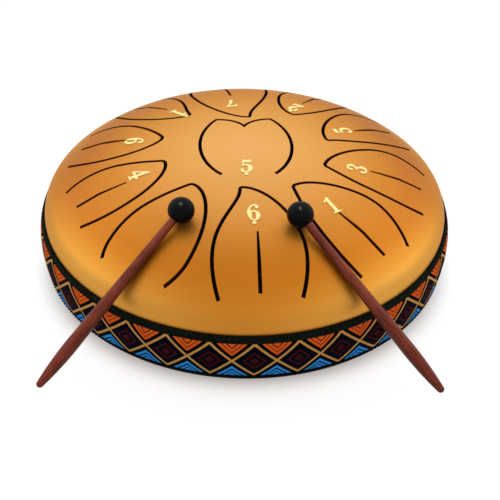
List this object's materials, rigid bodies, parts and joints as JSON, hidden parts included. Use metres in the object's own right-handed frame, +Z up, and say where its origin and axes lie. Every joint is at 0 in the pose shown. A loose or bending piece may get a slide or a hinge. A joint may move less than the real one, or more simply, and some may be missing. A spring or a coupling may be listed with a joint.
{
  "type": "steel tongue drum",
  "caption": "Low round steel drum whose dome is cut into petal-shaped tongues round a heart, with a woven band round its side, rubber feet and rubber-headed mallets.",
  "frame": {"origin": "on the drum's axis at the lower end of the sound port's straight collar, where the port's bend meets it", "axes": "+Z up through the middle of the dome, +X to the player's right, the player sits at -Y"},
  "size_m": [0.254, 0.2743, 0.0905],
  "materials": {
    "gold_paint": "satin metallic gold lacquer on steel sheet",
    "weld_metal": "weld bead under lacquer",
    "felt": "pressed felt strip",
    "woven_ribbon": "jacquard ribbon with diamonds and chevrons",
    "green_braid": "twisted cord braid, black and dark green",
    "black_braid": "twisted cord braid, black",
    "foot_rubber": "matte",
    "zinc_steel": "zinc plated",
    "handle_wood": "oiled red-brown hardwood",
    "head_rubber": "smooth satin"
  },
  "bodies": {
    "drum": {"top_shell": "gold_paint", "bottom_shell": "gold_paint", "seam_weld": "weld_metal", "band_felt": "felt", "pattern_band": "woven_ribbon", "top_braid": "green_braid", "lower_braid": "black_braid", "foot_front_left": "foot_rubber", "foot_front_right": "foot_rubber", "foot_back_left": "foot_rubber", "foot_back_right": "foot_rubber", "foot_screws": "zinc_steel", "foot_washers": "zinc_steel", "foot_nuts": "zinc_steel"},
    "left_mallet": {"left_mallet_handle": "handle_wood", "left_mallet_head": "head_rubber"},
    "right_mallet": {"right_mallet_handle": "handle_wood", "right_mallet_head": "head_rubber"}
  },
  "joints": [
    {"name": "left_mallet_lift", "type": "slide", "parent": "drum", "child": "left_mallet", "axis": [0, 0, 1], "range_m": [0, 0.08]},
    {"name": "right_mallet_lift", "type": "slide", "parent": "drum", "child": "right_mallet", "axis": [0, 0, 1], "range_m": [0, 0.08]}
  ]
}
